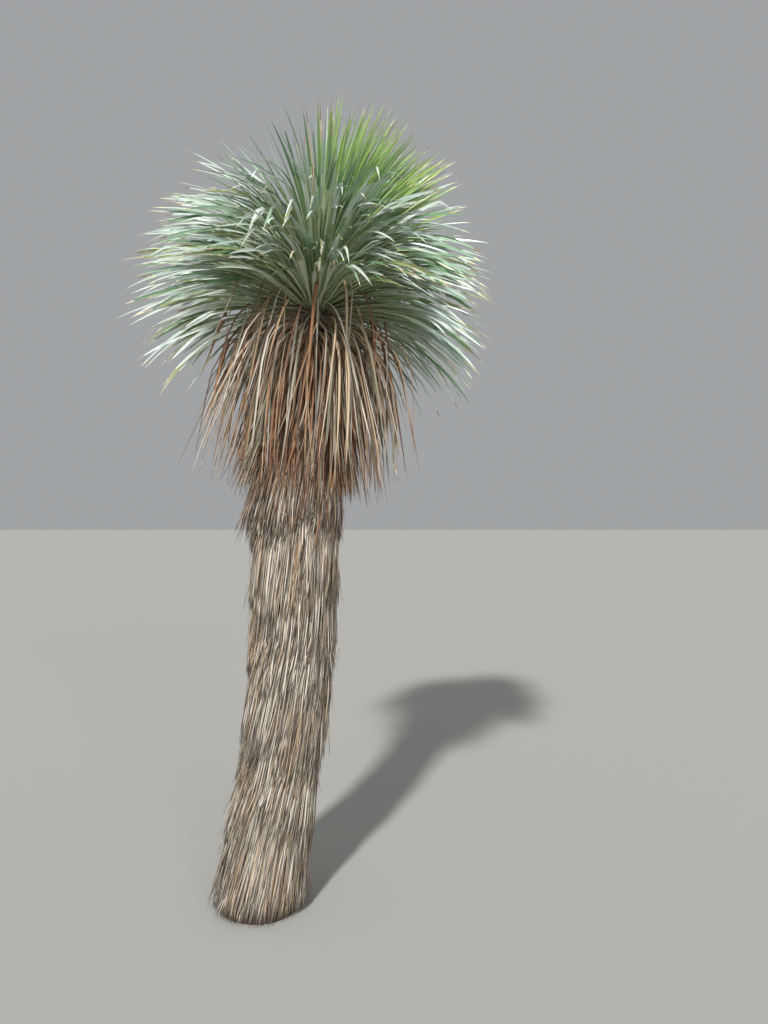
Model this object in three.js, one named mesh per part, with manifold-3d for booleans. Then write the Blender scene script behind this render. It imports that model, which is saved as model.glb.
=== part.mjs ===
// An old tree yucca: one leaning woody trunk, wrapped from the ground up in a thatch of dead leaves,
// with hanging dead leaves below a ball-shaped rosette of stiff green ones.
// Units are millimetres and +Z is up.
// The origin is the middle of the flat cut under the trunk, at ground level.
import * as THREE from "three";
import { mergeVertices } from "three/addons/utils/BufferGeometryUtils.js";
import Module from "manifold-3d";

const wasm = await Module();
wasm.setup();
const { lerp, degToRad } = THREE.MathUtils;

// The trunk leans towards +X with a sway in its lower part, and is straight inside the rosette.
const TRUNK_HEIGHT = 2455;
const LEAN = 0.0925;
const SWAY = 34;
const SWAY_HEIGHT = 1600;
const FOOT_RADIUS = 82;
const NECK_RADIUS = 62;
const TIP_RADIUS = 26;
const FLARE = 28;
const FLARE_HEIGHT = 70;
const TAPER_POWER = 1.5;
const TRUNK_RINGS = [0, 30, 80, 180, 380, 610, 830, 1060, 1320, 1600, 2200, 2270, 2340, 2400, 2440];
const TRUNK_SIDES = 20;
const CLEARANCE = 0.3;

// The thatch, in tiers from the ground up: packed dead leaves, with the ragged ends of strips standing out.
// The strips of a tier hang below its foot by its hang.
const TIERS = [
  { foot: 3, head: 472, footRadius: 168, headRadius: 153, hang: 0, strips: 16 },
  { foot: 472, head: 944, footRadius: 153, headRadius: 156, hang: 0, strips: 16 },
  { foot: 944, head: 1415, footRadius: 156, headRadius: 162, hang: 0, strips: 16 },
  { foot: 1415, head: 1690, footRadius: 181, headRadius: 152, hang: 55, strips: 16 },
  { foot: 1690, head: 1950, footRadius: 150, headRadius: 84, hang: 0, strips: 9 },
];
const TIER_SECTORS = 3;
const TIER_STEPS = 6;
const TIER_TURN = 40;
const STRIP_LENGTH = 230;
const STRIP_WIDTH = 30;
const STRIP_THICKNESS = 6;
const STRIP_PROUD = 12;
const STRIP_SUNK = 8;
const STRIP_SHORTEST = 0.8;
const STRIP_SWING = 20;
const STRIP_ROLL = 10;
const STRIP_LIFT = 2;
const STRIP_BEND = 4;
const STRIP_HEIGHT_SPREAD = 0.2;
const STRIP_ANGLE_SPREAD = 0.4;
const GROUND_CLEARANCE = 2;

// The rosette has a frame of its own, with its height along the trunk from CROWN_BASE.
// A leaf rooted at a station starts at its pitch above the level and bends down through an arc, in degrees.
const CROWN_BASE = 2200;
const STATIONS = [
  { along: -190, root: 69, pitch: -66, bend: 18, length: 430 },
  { along: -115, root: 68, pitch: -53, bend: 30, length: 550 },
  { along: -35, root: 68, pitch: -34, bend: 42, length: 645 },
  { along: 50, root: 65, pitch: 14, bend: 36, length: 625 },
  { along: 115, root: 59, pitch: 40, bend: 32, length: 610 },
  { along: 180, root: 48, pitch: 64, bend: 20, length: 515 },
  { along: 245, root: 5, pitch: 88, bend: 3, length: 540 },
];
// Each whorl of leaves fills the room between its own station and the next one up, from low to high of it.
const WHORLS = [
  { name: "hanging_inner", leaves: 13, turn: 0, low: 0.15, high: 0.85, shortest: 0.6, core: 60 },
  { name: "hanging_outer", leaves: 12, turn: 30, low: 0.15, high: 0.9, shortest: 0.6, core: 34 },
  { name: "rosette_lower", leaves: 20, turn: 0, low: 0.45, high: 0.93, shortest: 0.84, core: 26 },
  { name: "rosette_middle", leaves: 23, turn: 30, low: 0.1, high: 0.9, shortest: 0.84, core: 22 },
  { name: "rosette_upper", leaves: 21, turn: 0, low: 0.12, high: 0.88, shortest: 0.84, core: 22 },
];
const WHORL_SECTORS = 6;
const SPEAR = { name: "rosette_spear", leaves: 60, low: 0.08, high: 0.97, shortest: 0.8, core: 22 };
const LEAF_WIDTH = 24;
const LEAF_THICKNESS = 6.6;
const LEAF_SIDES = 3;
const LEAF_ROLL = 22;
const LEAF_TURN = 4;
const KNEE = 0.42;
const RISE_SPREAD = 0.7;
const ANGLE_SPREAD = 0.12;
const SECTOR_MARGIN = 0.03;
const SHORTENING_POWER = 1.5;
const WHORL_STEPS = 4;
const CORE_REACH = 40;
const CAP_FOOT = 20;
const CAP_SHOULDER = 267;
const CAP_TOP = 275;
const CAP_SIDES = 12;

// The gap that a mass keeps to the edge of its space, wider at its leaves, which are tested along each edge.
const SPACE_GAP = 0.5;
const LEAF_GAP = 1.2;
const EDGE_SHARES = [0, 0.2, 0.4, 0.6, 0.8];
const WELD = 1e-4;

// Colour and roughness.
const LOOKS = {
  trunk: { color: 0x6f5a45, roughness: 0.9 },
  thatch: { color: 0xa89a86, roughness: 0.9 },
  hanging_inner: { color: 0x9a6f4b, roughness: 0.7 },
  hanging_outer: { color: 0xb09a74, roughness: 0.7 },
  rosette_lower: { color: 0x8a9a72, roughness: 0.6 },
  rosette_middle: { color: 0x7d9a86, roughness: 0.55 },
  rosette_upper: { color: 0x7d9a86, roughness: 0.55 },
  rosette_spear: { color: 0x86a45c, roughness: 0.5 },
};

// Turning by this share of a circle or a length spreads leaves evenly, whatever their number.
const GOLDEN = (Math.sqrt(5) - 1) / 2;
const LEAF_SEED = 100;
const STRIP_SEED = 150;

// A seeded source of numbers from 0 to 1, so that the plant grows the same way each time.
function seeded(seed) {
  let state = seed;
  return () => {
    state = (state + 0x6d2b79f5) | 0;
    let mixed = Math.imul(state ^ (state >>> 15), 1 | state);
    mixed = (mixed + Math.imul(mixed ^ (mixed >>> 7), 61 | mixed)) ^ mixed;
    return ((mixed ^ (mixed >>> 14)) >>> 0) / 2 ** 32;
  };
}

// How far the trunk's middle has drifted towards +X at a height.
function leanAt(height) {
  const sway = Math.sin((Math.PI * Math.min(Math.max(height, 0), SWAY_HEIGHT)) / SWAY_HEIGHT);
  return LEAN * height + SWAY * sway * sway;
}

// The trunk's radius at a height: root flare, long taper, then the soft cone inside the rosette.
function trunkRadius(height) {
  const above = Math.max(0, height - CROWN_BASE) / (TRUNK_HEIGHT - CROWN_BASE);
  const taper = lerp(FOOT_RADIUS, NECK_RADIUS, Math.min(1, height / CROWN_BASE));
  const flare = FLARE * Math.exp(-height / FLARE_HEIGHT);
  return taper + flare - (NECK_RADIUS - TIP_RADIUS) * above ** TAPER_POWER;
}

// Moves every vertex of a geometry by a function that changes a Vector3.
function moveVertices(geometry, move) {
  const { position } = geometry.attributes;
  const vertex = new THREE.Vector3();
  for (let i = 0; i < position.count; i++) {
    move(vertex.fromBufferAttribute(position, i));
    position.setXYZ(i, vertex.x, vertex.y, vertex.z);
  }
  return geometry;
}

function lean(vertex) {
  vertex.x += leanAt(vertex.z);
}

// Turns a closed geometry into a solid, with its shared vertices merged and its collapsed faces left out.
function solidOf(geometry) {
  const bare = new THREE.BufferGeometry().setAttribute("position", geometry.attributes.position);
  bare.setIndex(geometry.index);
  const merged = mergeVertices(bare, WELD);
  const kept = [];
  for (let i = 0; i < merged.index.count; i += 3) {
    const [a, b, c] = [0, 1, 2].map((k) => merged.index.getX(i + k));
    if (a !== b && b !== c && c !== a) kept.push(a, b, c);
  }
  return new wasm.Manifold(
    new wasm.Mesh({
      numProp: 3,
      vertProperties: merged.attributes.position.array,
      triVerts: new Uint32Array(kept),
    }),
  );
}

// The largest body of a solid, as a named mesh. Loose scraps and sealed hollows are dropped.
function meshOf(name, solid, look) {
  const bodies = solid.decompose().sort((a, b) => b.volume() - a.volume());
  const { vertProperties, triVerts } = bodies[0].getMesh();
  const geometry = new THREE.BufferGeometry()
    .setAttribute("position", new THREE.BufferAttribute(vertProperties, 3))
    .setIndex(new THREE.BufferAttribute(triVerts, 1));
  geometry.computeVertexNormals();
  const material = new THREE.MeshStandardMaterial({ ...look, metalness: 0 });
  const mesh = new THREE.Mesh(geometry, material);
  mesh.name = name;
  return mesh;
}

// The trunk as a turned solid that leans, thicker all over by grow.
function trunkSolid(grow) {
  const profile = TRUNK_RINGS.map((height) => new THREE.Vector2(trunkRadius(height) + grow, height));
  profile[0].y = -grow;
  profile.unshift(new THREE.Vector2(0, -grow));
  profile.push(new THREE.Vector2(0, TRUNK_HEIGHT + grow));
  const turned = new THREE.LatheGeometry(profile, TRUNK_SIDES).rotateX(Math.PI / 2);
  return solidOf(moveVertices(turned, lean));
}

// A closed outline of [radius, height] corners, swept round the axis from one angle to another in flat steps.
function sweptSector(outline, from, to, steps) {
  const shape = new THREE.Shape(outline.map(([radius, height]) => new THREE.Vector2(radius, height)));
  const block = new THREE.ExtrudeGeometry(shape, { depth: 1, steps, bevelEnabled: false });
  return moveVertices(block, (vertex) => {
    const angle = lerp(to, from, vertex.z);
    vertex.set(vertex.x * Math.cos(angle), vertex.x * Math.sin(angle), vertex.y);
  });
}

// Where a leaf has got to at share t of its length, counted from its root: out, up, and its pitch there.
function arcPoint({ pitch, bend, length }, t) {
  const turned = pitch - bend * t;
  return {
    out: (length / bend) * (Math.sin(pitch) - Math.sin(turned)),
    up: (length / bend) * (Math.cos(turned) - Math.cos(pitch)),
    pitch: turned,
  };
}

// A leaf of six faces: a three-sided rod drawn to a point at both ends and bent at its knee.
// It is broadest there. Its upper side is flat and its keel is below.
function leafGeometry(leaf) {
  const places = [0, KNEE, 1];
  const rod = new THREE.CylinderGeometry(1, 1, 1, LEAF_SIDES, places.length - 1);
  rod.computeBoundingBox();
  const { min, max } = rod.boundingBox;
  const heading = new THREE.Vector3(Math.cos(leaf.heading), Math.sin(leaf.heading), 0);
  const level = new THREE.Vector3(-heading.y, heading.x, 0);
  const upwards = new THREE.Vector3(0, 0, 1);
  const start = new THREE.Vector3(Math.cos(leaf.angle), Math.sin(leaf.angle), 0);
  start.multiplyScalar(leaf.root).addScaledVector(upwards, leaf.along);
  return moveVertices(rod, (vertex) => {
    const row = Math.round((vertex.y - min.y) * (places.length - 1));
    const { out, up, pitch } = arcPoint(leaf, places[row]);
    const swell = places[row] === KNEE ? 1 : 0;
    const across = (swell * leaf.width * vertex.x) / (max.x - min.x);
    const depth = (swell * leaf.thickness * (vertex.z - min.z)) / (max.z - min.z);
    const along = heading.clone().multiplyScalar(Math.cos(pitch));
    along.addScaledVector(upwards, Math.sin(pitch));
    const side = level.clone().applyAxisAngle(along, leaf.roll);
    const face = along.clone().cross(side);
    vertex.copy(start).addScaledVector(heading, out).addScaledVector(upwards, up);
    vertex.addScaledVector(side, across).addScaledVector(face, -depth);
  });
}

// The rule for a leaf at share t of the way from one station to the next, with its angles in radians.
function stationAt(index, t) {
  const low = STATIONS[index];
  const high = STATIONS[Math.min(index + 1, STATIONS.length - 1)];
  return {
    along: lerp(low.along, high.along, t),
    root: lerp(low.root, high.root, t),
    pitch: degToRad(lerp(low.pitch, high.pitch, t)),
    bend: degToRad(lerp(low.bend, high.bend, t)),
    length: lerp(low.length, high.length, t),
  };
}

// Two whorls meet at a pair of cones, drawn through the root, the knee and the tip of their station's leaf.
function coneAt(station, radius) {
  const [knee, tip] = [arcPoint(station, KNEE), arcPoint(station, 1)];
  const out = radius - station.root;
  const beyond = out > knee.out;
  const pitch = beyond
    ? Math.atan2(tip.up - knee.up, tip.out - knee.out)
    : Math.atan2(knee.up, knee.out);
  const height = beyond ? knee.up + (out - knee.out) * Math.tan(pitch) : out * Math.tan(pitch);
  return { height: station.along + height, pitch };
}

// How far a point is above a station's cones, measured square to them.
function heightAbove(station, point) {
  const { height, pitch } = coneAt(station, Math.hypot(point.x, point.y));
  return (point.z - height) * Math.cos(pitch);
}

// True where a point is clear of the two upright planes that bound a sector.
function insideSector(point, from, to) {
  const radius = Math.hypot(point.x, point.y);
  const angle = Math.atan2(point.y, point.x);
  return radius * Math.sin(angle - from) >= LEAF_GAP && radius * Math.sin(to - angle) >= LEAF_GAP;
}

// True where a test holds at the corners of a geometry and at points along its edges.
function holdsAlong(geometry, test) {
  const corners = geometry.toNonIndexed().attributes.position;
  const [start, end, point] = [new THREE.Vector3(), new THREE.Vector3(), new THREE.Vector3()];
  for (let i = 0; i < corners.count; i++) {
    start.fromBufferAttribute(corners, i);
    end.fromBufferAttribute(corners, i % 3 === 2 ? i - 2 : i + 1);
    for (const share of EDGE_SHARES) {
      if (!test(point.lerpVectors(start, end, share))) return false;
    }
  }
  return true;
}

// A leaf of a whorl by the seeded rule: its place in the whorl, its length, and how it is turned and rolled.
function leafOf(whorl, index, number, from, to, random) {
  const rise = (number + 0.5 + RISE_SPREAD * (random() - 0.5)) / whorl.leaves;
  const station = stationAt(index, lerp(whorl.low, whorl.high, rise));
  const share = (number * GOLDEN + ANGLE_SPREAD * random()) % 1;
  const angle = lerp(from, to, lerp(SECTOR_MARGIN, 1 - SECTOR_MARGIN, share));
  const cut = lerp(1, whorl.shortest, random() ** SHORTENING_POWER);
  return {
    ...station,
    angle,
    heading: angle + degToRad(LEAF_TURN) * (2 * random() - 1),
    length: station.length * cut,
    bend: station.bend * cut,
    roll: degToRad(LEAF_ROLL) * (2 * random() - 1),
    width: LEAF_WIDTH,
    thickness: LEAF_THICKNESS,
  };
}

// The sleeve of clasping leaf bases that a sector's leaves stand out of.
function whorlCore(floor, ceiling, depth, from, to) {
  const corner = (station, radius, side) => {
    const { height, pitch } = coneAt(station, radius);
    return [radius, height + (side * SPACE_GAP) / Math.cos(pitch)];
  };
  const outline = [
    corner(floor, floor.root - CORE_REACH, 1),
    corner(floor, floor.root + depth, 1),
    corner(ceiling, ceiling.root + depth, -1),
    corner(ceiling, ceiling.root - CORE_REACH, -1),
  ];
  const inset = SPACE_GAP / floor.root;
  return sweptSector(outline, from + inset, to - inset, WHORL_STEPS);
}

// One sector of a whorl: its core, and every leaf of it that keeps to the sector's own space.
function whorlSector(whorl, index, number, trunk) {
  const random = seeded(LEAF_SEED + WHORL_SECTORS * index + number);
  const [floor, ceiling] = [stationAt(index, 0), stationAt(index, 1)];
  const from = degToRad(whorl.turn + (360 / WHORL_SECTORS) * number);
  const to = from + degToRad(360 / WHORL_SECTORS);
  const parts = [solidOf(whorlCore(floor, ceiling, whorl.core, from, to))];
  for (let i = 0; i < whorl.leaves; i++) {
    const blade = leafGeometry(leafOf(whorl, index, i, from, to, random));
    const keeps = (point) =>
      insideSector(point, from, to) &&
      heightAbove(floor, point) >= LEAF_GAP &&
      heightAbove(ceiling, point) <= -LEAF_GAP;
    if (holdsAlong(blade, keeps)) parts.push(solidOf(blade));
  }
  const mass = wasm.Manifold.union(parts).subtract(trunk);
  return meshOf(`${whorl.name}_${number + 1}`, mass, LOOKS[whorl.name]);
}

// The spear of young leaves over the growing point, on a cap that covers the trunk's tip.
function spear(trunk) {
  const random = seeded(LEAF_SEED + WHORL_SECTORS * WHORLS.length);
  const index = WHORLS.length;
  const floor = stationAt(index, 0);
  const corner = (radius) => new THREE.Vector2(radius, coneAt(floor, radius).height + 2 * SPACE_GAP);
  const profile = [
    new THREE.Vector2(0, corner(CAP_FOOT).y),
    corner(CAP_FOOT),
    corner(floor.root + SPEAR.core),
    new THREE.Vector2(TIP_RADIUS, CAP_SHOULDER),
    new THREE.Vector2(0, CAP_TOP),
  ];
  const parts = [solidOf(new THREE.LatheGeometry(profile, CAP_SIDES).rotateX(Math.PI / 2))];
  for (let i = 0; i < SPEAR.leaves; i++) {
    const blade = leafGeometry(leafOf(SPEAR, index, i, 0, 2 * Math.PI, random));
    const keeps = (point) => heightAbove(floor, point) >= LEAF_GAP;
    if (holdsAlong(blade, keeps)) parts.push(solidOf(blade));
  }
  const mass = wasm.Manifold.union(parts).subtract(trunk);
  return meshOf(SPEAR.name, mass, LOOKS[SPEAR.name]);
}

// The radius of a tier's packed leaves at a height.
function tierRadius(tier, height) {
  const share = (height - tier.foot) / (tier.head - tier.foot);
  return lerp(tier.footRadius, tier.headRadius, share) - STRIP_PROUD;
}

// A strip of a tier by the seeded rule: its root is just inside the packed leaves, and its tip stands proud.
function stripOf(tier, number, from, to, random) {
  const room = tier.head - tier.foot + tier.hang - STRIP_LENGTH;
  const rise = (number * GOLDEN + STRIP_HEIGHT_SPREAD * random()) % 1;
  const tipHeight = tier.foot - tier.hang + room * rise;
  const rootHeight = tipHeight + STRIP_LENGTH * lerp(1, STRIP_SHORTEST, random());
  const root = tierRadius(tier, rootHeight) - STRIP_SUNK;
  const tip = tierRadius(tier, tipHeight) + STRIP_PROUD;
  const share = (number + 0.5 + STRIP_ANGLE_SPREAD * (random() - 0.5)) / tier.strips;
  const angle = lerp(from, to, share);
  return {
    along: rootHeight,
    root,
    angle,
    heading: angle + degToRad(STRIP_SWING) * (random() - 0.5),
    pitch: Math.atan2(tipHeight - rootHeight, tip - root) + degToRad(STRIP_LIFT),
    bend: degToRad(STRIP_BEND),
    length: Math.hypot(tipHeight - rootHeight, tip - root),
    roll: degToRad(STRIP_ROLL) * (random() - 0.5),
    width: STRIP_WIDTH,
    thickness: STRIP_THICKNESS,
  };
}

// One sector of a tier: a core of packed dead leaves, and strips that leave it by their lower ends.
function thatchSector(tier, index, number, trunk) {
  const random = seeded(STRIP_SEED + TIER_SECTORS * index + number);
  const from = degToRad((360 / TIER_SECTORS) * number + TIER_TURN * index);
  const to = from + degToRad(360 / TIER_SECTORS);
  const outline = [
    [CORE_REACH, tier.foot + SPACE_GAP],
    [tierRadius(tier, tier.foot), tier.foot + SPACE_GAP],
    [tierRadius(tier, tier.head), tier.head - SPACE_GAP],
    [CORE_REACH, tier.head - SPACE_GAP],
  ];
  const inset = SPACE_GAP / FOOT_RADIUS;
  const core = sweptSector(outline, from + inset, to - inset, TIER_STEPS);
  const parts = [solidOf(moveVertices(core, lean))];
  for (let i = 0; i < tier.strips; i++) {
    const strip = leafGeometry(stripOf(tier, i, from, to, random));
    const keeps = (point) => insideSector(point, from, to) && point.z >= GROUND_CLEARANCE;
    if (holdsAlong(strip, keeps)) parts.push(solidOf(moveVertices(strip, lean)));
  }
  const mass = wasm.Manifold.union(parts).subtract(trunk);
  return meshOf(`thatch_tier_${index + 1}_${"abc"[number]}`, mass, LOOKS.thatch);
}

const plant = new THREE.Group();
plant.add(meshOf("trunk", trunkSolid(0), LOOKS.trunk));
const trunkSpace = trunkSolid(CLEARANCE);

const thatch = new THREE.Group();
TIERS.forEach((tier, index) => {
  for (let number = 0; number < TIER_SECTORS; number++) {
    thatch.add(thatchSector(tier, index, number, trunkSpace));
  }
});
plant.add(thatch);

const crown = new THREE.Group();
crown.position.set(leanAt(CROWN_BASE), 0, CROWN_BASE);
crown.rotation.y = Math.atan(LEAN);
crown.updateMatrix();
const trunkInCrown = trunkSpace.transform(crown.matrix.clone().invert().elements);
WHORLS.forEach((whorl, index) => {
  for (let number = 0; number < WHORL_SECTORS; number++) {
    crown.add(whorlSector(whorl, index, number, trunkInCrown));
  }
});
crown.add(spear(trunkInCrown));
plant.add(crown);

export default plant;
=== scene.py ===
# %% [markdown]
# # A tree yucca, leaf by leaf
# The plant is an old tree yucca: one leaning stem in a thatch of dead leaves, and a ball of stiff green
# leaves on top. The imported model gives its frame, a coarse solid for each mass of leaves.
# This lesson puts real leaves in the place of each mass, by the rule that the coarse ones grew by.

from math import atan, pi, radians

import bpy
import numpy as np
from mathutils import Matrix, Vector


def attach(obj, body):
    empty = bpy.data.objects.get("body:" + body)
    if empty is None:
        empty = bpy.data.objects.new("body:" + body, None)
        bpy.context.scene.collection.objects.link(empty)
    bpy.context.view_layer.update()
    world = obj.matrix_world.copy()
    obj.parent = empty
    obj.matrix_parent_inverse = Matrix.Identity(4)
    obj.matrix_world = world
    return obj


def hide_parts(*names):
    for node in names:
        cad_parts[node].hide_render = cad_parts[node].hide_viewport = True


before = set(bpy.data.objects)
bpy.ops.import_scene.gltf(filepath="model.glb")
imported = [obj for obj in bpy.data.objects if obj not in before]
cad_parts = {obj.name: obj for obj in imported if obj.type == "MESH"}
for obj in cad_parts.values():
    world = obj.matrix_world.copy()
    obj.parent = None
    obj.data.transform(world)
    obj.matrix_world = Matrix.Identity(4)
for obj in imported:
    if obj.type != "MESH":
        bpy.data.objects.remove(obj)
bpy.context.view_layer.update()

# %% [markdown]
# ## The plant's own sizes
# These are the sizes that the coarse solids were made from, here in metres and degrees.
# A leaf that roots at a station starts at its pitch above the level and bends down through an arc. The
# green leaves and the hanging ones fill the room between stations, so they reach as far as the solids do.

# %% Sizes of the stem and the crown
TRUNK_HEIGHT, CROWN_BASE = 2.455, 2.2
LEAN, SWAY, SWAY_HEIGHT = 0.0925, 0.034, 1.6
FOOT_RADIUS, NECK_RADIUS, TIP_RADIUS = 0.082, 0.062, 0.026
FLARE, FLARE_HEIGHT = 0.028, 0.07
# Each station: its place along the stem, and the root radius, pitch, bend and length of a leaf there.
STATIONS = np.array(
    [
        (-0.190, 0.069, -66, 18, 0.430),
        (-0.115, 0.068, -53, 30, 0.550),
        (-0.035, 0.068, -34, 42, 0.645),
        (0.050, 0.065, 14, 36, 0.625),
        (0.115, 0.059, 40, 32, 0.610),
        (0.180, 0.048, 64, 20, 0.515),
        (0.245, 0.005, 88, 3, 0.540),
    ]
)
GOLDEN = (5**0.5 - 1) / 2


def lean_at(height):
    """How far the stem has leaned aside at a height."""
    sway = np.sin(pi * np.clip(height, 0, SWAY_HEIGHT) / SWAY_HEIGHT)
    return LEAN * height + SWAY * sway**2


def trunk_radius(height):
    """The stem flares at its foot, tapers slowly up to the crown, and quickly inside it."""
    above = np.maximum(0, height - CROWN_BASE) / (TRUNK_HEIGHT - CROWN_BASE)
    taper = FOOT_RADIUS + (NECK_RADIUS - FOOT_RADIUS) * np.minimum(1, height / CROWN_BASE)
    return taper + FLARE * np.exp(-height / FLARE_HEIGHT) - (NECK_RADIUS - TIP_RADIUS) * above**1.5


print("the stem leans", round(float(lean_at(TRUNK_HEIGHT)), 3), "m at its tip")

# %% [markdown]
# ## Colours
# A leaf of this kind is a stiff strip of fibre under a waxy skin. The wax gives it a pale blue-green
# bloom and a soft shine. Its margin is a thin horny line, yellow when fresh. A dead leaf loses the wax,
# turns reddish brown and then straw, and weathers to silver grey on the stem.
# A painted pattern could hold all this, but it would need an image or a place on the leaf for each tone.
# Every leaf is a real mesh with its margins, underside and tip as faces of their own, so plain colours
# do, dealt out leaf by leaf.

# %% One way to make a colour and a node


def linear(hex_colour):
    """A colour written as sRGB, turned to the linear numbers that a shader takes."""
    channels = [int(hex_colour[i : i + 2], 16) / 255 for i in (1, 3, 5)]
    return [c / 12.92 if c <= 0.04045 else ((c + 0.055) / 1.055) ** 2.4 for c in channels] + [1]


def node(tree, kind, values=(), **links):
    """Adds one node, sets its values, and links its inputs to other nodes' outputs."""
    made = tree.nodes.new(kind)
    for name, value in dict(values).items():
        if name in made.inputs:
            made.inputs[name].default_value = value
        else:
            setattr(made, name, value)
    for name, output in links.items():
        tree.links.new(output, made.inputs[name.replace("_", " ")])
    return made


def skin(name, hex_colour, roughness, coat=0.0, coat_roughness=0.3, sheen=0.0):
    """A plain leaf skin. A coat stands for the cuticle's wax, and sheen for bloom or loose fibres."""
    material = bpy.data.materials.new(name)
    material.use_nodes = True
    shader = material.node_tree.nodes["Principled BSDF"].inputs
    shader["Base Color"].default_value = linear(hex_colour)
    shader["Roughness"].default_value = roughness
    shader["Coat Weight"].default_value = coat
    shader["Coat Roughness"].default_value = coat_roughness
    shader["Sheen Weight"].default_value = sheen
    return material


# %% Skins of the living leaves
# Cuticle wax over green tissue: the eye sees a soft, broad shine over a powdery green.
WAX = {"roughness": 0.4, "coat": 0.5, "coat_roughness": 0.28, "sheen": 0.05}
GREEN = {
    "blue": skin("waxy_leaf_blue_green", "#a5b6ab", **WAX),
    "grey": skin("waxy_leaf_silver_green", "#c3cdc3", **WAX),
    "mid": skin("waxy_leaf_mid_green", "#8ca78a", **WAX),
    "deep": skin("waxy_leaf_deep_green", "#62875e", **WAX),
    "olive": skin("waxy_leaf_olive", "#899362", **WAX),
    "young": skin("young_leaf_yellow_green", "#9bb45f", **WAX),
    "turning": skin("young_leaf_half_yellow", "#86a866", **WAX),
    "fresh": skin("young_leaf_bright_green", "#6f996c", **WAX),
    # Painted light: both underside skins are paler than the leaves' own underside, for light that shines
    # through the leaves onto their shaded undersides.
    "under": skin("leaf_underside_green_painted_light", "#bfd2b6", roughness=0.45, coat=0.3),
    "under_deep": skin("leaf_underside_deep_green_painted_light", "#86a67d", roughness=0.5, coat=0.2),
    "margin_and_lit_side": skin("horny_margin_pale_yellow", "#dddcaa", roughness=0.4),
    "tan_tip": skin("dry_tip_tan", "#ab9e87", roughness=0.7),
    "brown_tip": skin("dry_tip_brown", "#8d6b4d", roughness=0.75),
}
print(len(GREEN), "skins for living leaves")

# %% Skins of the dead leaves
# Dry fibre without wax: it looks matt, with a faint glow along its edges from loose fibres.
DRY = {"roughness": 0.55, "sheen": 0.1}
DEAD = {
    "red_brown": skin("dead_leaf_red_brown", "#7e512f", **DRY),
    "brown": skin("dead_leaf_brown", "#644530", **DRY),
    "tan": skin("dead_leaf_tan", "#956c47", **DRY),
    "straw": skin("dead_leaf_straw", "#b39d80", **DRY),
    "drab": skin("dying_leaf_drab_green", "#736f55", **DRY),
    "silver": skin("weathered_leaf_silver", "#c5bcae", **DRY),
    "grey": skin("weathered_leaf_grey", "#8f8678", **DRY),
    "ochre": skin("weathered_leaf_ochre", "#938066", **DRY),
    "dark": skin("weathered_leaf_dark", "#5b4d43", **DRY),
    # Painted shade: the packed bases are darker than their own brown, for the shadow between the strips.
    "packed": skin("packed_leaf_bases", "#3d2f24", roughness=0.95),
}
print(len(DEAD), "skins for dead leaves")

# %% [markdown]
# ## The stem
# The stem is fibrous and has no true bark: it is ringed by the scars that fallen leaves left, one close
# over the other. A cylinder could be displaced all over, but rings that are extruded one by one follow
# the stem's lean, its sway and its flared foot. Every other ring stands out as a scar, one in 18 mm.

# %% Modelling helpers


def start_clean():
    """Nothing stays selected, so that the next operator acts on its own piece only."""
    if bpy.context.mode != "OBJECT":
        bpy.ops.object.mode_set(mode="OBJECT")
    bpy.ops.object.select_all(action="DESELECT")


def pick(piece, test):
    """Selects the vertices of a piece that a test holds for, and goes on in edit mode."""
    bpy.ops.object.mode_set(mode="EDIT")
    bpy.ops.mesh.select_all(action="DESELECT")
    bpy.ops.object.mode_set(mode="OBJECT")
    for vertex in piece.data.vertices:
        vertex.select = bool(test(vertex.co))
    bpy.ops.object.mode_set(mode="EDIT")


def put_in_scene(name, data):
    """A new object of a mesh, a lamp or a camera."""
    made = bpy.data.objects.new(name, data)
    bpy.context.scene.collection.objects.link(made)
    return made


def triangles_of(piece):
    return sum(len(face.vertices) - 2 for face in piece.data.polygons)


def finish_shape(piece):
    """Turns all faces outward and leaves edit mode."""
    bpy.ops.mesh.select_all(action="SELECT")
    bpy.ops.mesh.normals_make_consistent(inside=False)
    start_clean()
    print(piece.name, triangles_of(piece), "triangles")


# %% The stem, ring by ring
RING_STEP, SCAR_DEPTH, STEM_SIDES = 0.009, 0.0035, 72
RINGS_TO, TIP_FROM = TRUNK_HEIGHT - 0.02, TRUNK_HEIGHT - 0.012
TIP_SHIFT, TIP_SHARE = 0.001, 0.3


def draw_up(start, start_radius, heights, radii):
    """Extrudes the selected ring from height to height, along the lean of the stem."""
    last_height, last_radius = start, start_radius
    for height, radius in zip(heights, radii):
        move = (float(lean_at(height) - lean_at(last_height)), 0, float(height - last_height))
        bpy.ops.mesh.extrude_region_move(TRANSFORM_OT_translate={"value": move})
        bpy.ops.transform.resize(value=(radius / last_radius, radius / last_radius, 1))
        last_height, last_radius = height, radius


def scar_radius(number, height):
    return float(trunk_radius(height)) - (SCAR_DEPTH if number % 2 else 0)


cut_radius = float(trunk_radius(0))
start_clean()
bpy.ops.mesh.primitive_circle_add(vertices=STEM_SIDES, radius=cut_radius, fill_type="NGON")
stem = bpy.context.object
stem.name = "scarred_stem"
bpy.ops.object.mode_set(mode="EDIT")
rings = np.append(np.arange(RING_STEP, RINGS_TO, RING_STEP), TIP_FROM)
draw_up(0.0, cut_radius, rings, [scar_radius(number, height) for number, height in enumerate(rings)])
bpy.ops.mesh.extrude_region_move(TRANSFORM_OT_translate={"value": (TIP_SHIFT, 0, TRUNK_HEIGHT - rings[-1])})
bpy.ops.transform.resize(value=(TIP_SHARE, TIP_SHARE, 1))
finish_shape(stem)

# %% [markdown]
# The scars aren't even rings on a real stem: they run in short steps. They could be sculpted, but a cloud
# texture does it all round at once. It pushes the surface in and out by a few millimetres, with lumps of
# about the size of a leaf base. The cut at the ground stays flat.

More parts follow.
